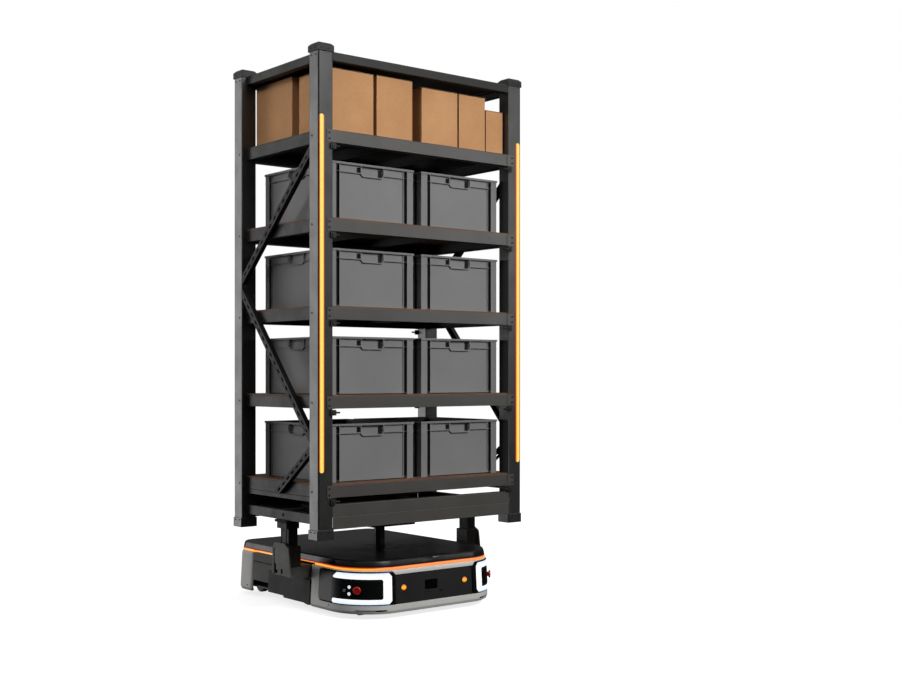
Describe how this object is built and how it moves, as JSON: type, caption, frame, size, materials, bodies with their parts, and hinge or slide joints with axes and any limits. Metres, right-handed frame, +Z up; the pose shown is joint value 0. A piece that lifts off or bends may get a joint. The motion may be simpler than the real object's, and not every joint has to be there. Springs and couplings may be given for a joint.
{
  "type": "autonomous mobile robot with lifting shelf rack",
  "caption": "Low wheeled warehouse robot that lifts and carries an open shelf rack loaded with totes and cartons.",
  "frame": {"origin": "on the floor, under the middle of the robot's body", "axes": "front of the robot towards -Y, +X to the right of someone facing its front, +Z up"},
  "size_m": [1.0116, 0.93, 2.153],
  "materials": {
    "silver_shell": "satin silver-grey paint on moulded plastic",
    "side_grey": "satin dark grey",
    "charcoal_plastic": "fine matt charcoal",
    "deck_black": "fine matt black",
    "black_gloss": "gloss black",
    "white_light": "lit white diffuser",
    "amber_light": "lit amber lens",
    "orange_light": "lit orange diffuser",
    "strip_light": "lit amber-orange diffuser",
    "red_button": "satin red",
    "grey_button": "satin grey",
    "rack_paint": "fine-texture dark grey powder coat",
    "bracket_grey": "grey powder coat",
    "chassis_paint": "black powder coat",
    "cast_aluminium": "bead-blasted",
    "bright_steel": "ground",
    "zinc_steel": "zinc plated",
    "contact_metal": "bare contact",
    "battery_case": "matt black",
    "polyurethane": "dark polyurethane",
    "black_rubber": "matt rubber",
    "black_cap": "satin black",
    "tote_grey": "fine-grain grey polypropylene",
    "carton_board": "plain brown board",
    "board": "brown fibreboard"
  },
  "bodies": {
    "chassis": {"chassis_frame": "chassis_paint", "front_shells": "silver_shell", "rear_shells": "silver_shell", "side_panels": "side_grey", "front_panel": "charcoal_plastic", "deck_covers": "deck_black", "base_led_ring": "orange_light", "headlight_housings": "black_gloss", "headlight_lenses": "white_light", "indicator_lamps": "amber_light", "camera_window": "black_gloss", "charging_contacts": "contact_metal", "lift_brackets": "bracket_grey", "battery_pack": "battery_case", "control_box": "cast_aluminium", "drive_units": "cast_aluminium", "lift_jack": "cast_aluminium", "base_fasteners": "zinc_steel"},
    "lift": {"lift_masts": "rack_paint", "lift_column": "bright_steel", "lift_pads": "black_rubber", "rack_posts": "rack_paint", "rack_base_frame": "rack_paint", "shelf_frames": "rack_paint", "shelf_boards": "board", "rack_top": "rack_paint", "post_end_caps": "black_cap", "post_led_strips": "strip_light", "side_braces": "rack_paint", "rack_fasteners": "zinc_steel"},
    "drive_wheel_left": {"drive_hub_left": "cast_aluminium", "drive_tyre_left": "polyurethane"},
    "drive_wheel_right": {"drive_hub_right": "cast_aluminium", "drive_tyre_right": "polyurethane"},
    "caster_swivel_front_left": {"caster_fork_front_left": "zinc_steel"},
    "caster_roller_front_left": {"caster_wheel_front_left": "black_rubber"},
    "caster_swivel_front_right": {"caster_fork_front_right": "zinc_steel"},
    "caster_roller_front_right": {"caster_wheel_front_right": "black_rubber"},
    "caster_swivel_rear_left": {"caster_fork_rear_left": "zinc_steel"},
    "caster_roller_rear_left": {"caster_wheel_rear_left": "black_rubber"},
    "caster_swivel_rear_right": {"caster_fork_rear_right": "zinc_steel"},
    "caster_roller_rear_right": {"caster_wheel_rear_right": "black_rubber"},
    "estop_button_left": {"estop_left": "red_button"},
    "reset_left": {"reset_button_left": "grey_button"},
    "estop_button_right": {"estop_right": "red_button"},
    "reset_right": {"reset_button_right": "grey_button"},
    "tote_1_left_load": {"tote_1_left": "tote_grey"},
    "tote_1_right_load": {"tote_1_right": "tote_grey"},
    "tote_2_left_load": {"tote_2_left": "tote_grey"},
    "tote_2_right_load": {"tote_2_right": "tote_grey"},
    "tote_3_left_load": {"tote_3_left": "tote_grey"},
    "tote_3_right_load": {"tote_3_right": "tote_grey"},
    "tote_4_left_load": {"tote_4_left": "tote_grey"},
    "tote_4_right_load": {"tote_4_right": "tote_grey"},
    "carton_a_load": {"carton_a": "carton_board"},
    "carton_b_load": {"carton_b": "carton_board"},
    "carton_c_load": {"carton_c": "carton_board"},
    "carton_d_load": {"carton_d": "carton_board"},
    "carton_e_load": {"carton_e": "carton_board"},
    "carton_f_load": {"carton_f": "carton_board"}
  },
  "joints": [
    {"name": "lift_travel", "type": "slide", "parent": "chassis", "child": "lift", "axis": [0, 0, 1], "range_m": [0, 0.06]},
    {"name": "drive_left_spin", "type": "hinge", "parent": "chassis", "child": "drive_wheel_left", "pos_m": [-0.27, 0, 0.08], "axis": [1, 0, 0], "continuous": true},
    {"name": "drive_right_spin", "type": "hinge", "parent": "chassis", "child": "drive_wheel_right", "pos_m": [0.27, 0, 0.08], "axis": [1, 0, 0], "continuous": true},
    {"name": "caster_front_left_swivel", "type": "hinge", "parent": "chassis", "child": "caster_swivel_front_left", "pos_m": [-0.25, -0.335, 0.1], "axis": [0, 0, 1], "continuous": true},
    {"name": "caster_front_left_roll", "type": "hinge", "parent": "caster_swivel_front_left", "child": "caster_roller_front_left", "pos_m": [-0.25, -0.313, 0.0375], "axis": [1, 0, 0], "continuous": true},
    {"name": "caster_front_right_swivel", "type": "hinge", "parent": "chassis", "child": "caster_swivel_front_right", "pos_m": [0.25, -0.335, 0.1], "axis": [0, 0, 1], "continuous": true},
    {"name": "caster_front_right_roll", "type": "hinge", "parent": "caster_swivel_front_right", "child": "caster_roller_front_right", "pos_m": [0.25, -0.313, 0.0375], "axis": [1, 0, 0], "continuous": true},
    {"name": "caster_rear_left_swivel", "type": "hinge", "parent": "chassis", "child": "caster_swivel_rear_left", "pos_m": [-0.265, 0.37, 0.1], "axis": [0, 0, 1], "continuous": true},
    {"name": "caster_rear_left_roll", "type": "hinge", "parent": "caster_swivel_rear_left", "child": "caster_roller_rear_left", "pos_m": [-0.265, 0.392, 0.0375], "axis": [1, 0, 0], "continuous": true},
    {"name": "caster_rear_right_swivel", "type": "hinge", "parent": "chassis", "child": "caster_swivel_rear_right", "pos_m": [0.265, 0.37, 0.1], "axis": [0, 0, 1], "continuous": true},
    {"name": "caster_rear_right_roll", "type": "hinge", "parent": "caster_swivel_rear_right", "child": "caster_roller_rear_right", "pos_m": [0.265, 0.392, 0.0375], "axis": [1, 0, 0], "continuous": true},
    {"name": "estop_left_press", "type": "slide", "parent": "chassis", "child": "estop_button_left", "axis": [0.7771, 0.6293, 0], "range_m": [0, 0.004], "stiffness_N_per_m": 1500, "springref_m": -0.002},
    {"name": "reset_left_press", "type": "slide", "parent": "chassis", "child": "reset_left", "axis": [0.9272, 0.3746, 0], "range_m": [0, 0.0015], "stiffness_N_per_m": 800, "springref_m": -0.001},
    {"name": "estop_right_press", "type": "slide", "parent": "chassis", "child": "estop_button_right", "axis": [-0.7771, 0.6293, 0], "range_m": [0, 0.004], "stiffness_N_per_m": 1500, "springref_m": -0.002},
    {"name": "reset_right_press", "type": "slide", "parent": "chassis", "child": "reset_right", "axis": [-0.9272, 0.3746, 0], "range_m": [0, 0.0015], "stiffness_N_per_m": 800, "springref_m": -0.001},
    {"name": "tote_1_left_pull", "type": "slide", "parent": "lift", "child": "tote_1_left_load", "axis": [0, -1, 0], "range_m": [0, 0.45]},
    {"name": "tote_1_right_pull", "type": "slide", "parent": "lift", "child": "tote_1_right_load", "axis": [0, -1, 0], "range_m": [0, 0.45]},
    {"name": "tote_2_left_pull", "type": "slide", "parent": "lift", "child": "tote_2_left_load", "axis": [0, -1, 0], "range_m": [0, 0.45]},
    {"name": "tote_2_right_pull", "type": "slide", "parent": "lift", "child": "tote_2_right_load", "axis": [0, -1, 0], "range_m": [0, 0.45]},
    {"name": "tote_3_left_pull", "type": "slide", "parent": "lift", "child": "tote_3_left_load", "axis": [0, -1, 0], "range_m": [0, 0.45]},
    {"name": "tote_3_right_pull", "type": "slide", "parent": "lift", "child": "tote_3_right_load", "axis": [0, -1, 0], "range_m": [0, 0.45]},
    {"name": "tote_4_left_pull", "type": "slide", "parent": "lift", "child": "tote_4_left_load", "axis": [0, -1, 0], "range_m": [0, 0.45]},
    {"name": "tote_4_right_pull", "type": "slide", "parent": "lift", "child": "tote_4_right_load", "axis": [0, -1, 0], "range_m": [0, 0.45]},
    {"name": "carton_a_pull", "type": "slide", "parent": "lift", "child": "carton_a_load", "axis": [0, -1, 0], "range_m": [0, 0.3]},
    {"name": "carton_b_pull", "type": "slide", "parent": "lift", "child": "carton_b_load", "axis": [0, -1, 0], "range_m": [0, 0.3]},
    {"name": "carton_c_pull", "type": "slide", "parent": "lift", "child": "carton_c_load", "axis": [0, -1, 0], "range_m": [0, 0.3]},
    {"name": "carton_d_pull", "type": "slide", "parent": "lift", "child": "carton_d_load", "axis": [0, -1, 0], "range_m": [0, 0.3]},
    {"name": "carton_e_pull", "type": "slide", "parent": "lift", "child": "carton_e_load", "axis": [0, -1, 0], "range_m": [0, 0.3]},
    {"name": "carton_f_pull", "type": "slide", "parent": "lift", "child": "carton_f_load", "axis": [0, 1, 0], "range_m": [0, 0.3]}
  ]
}
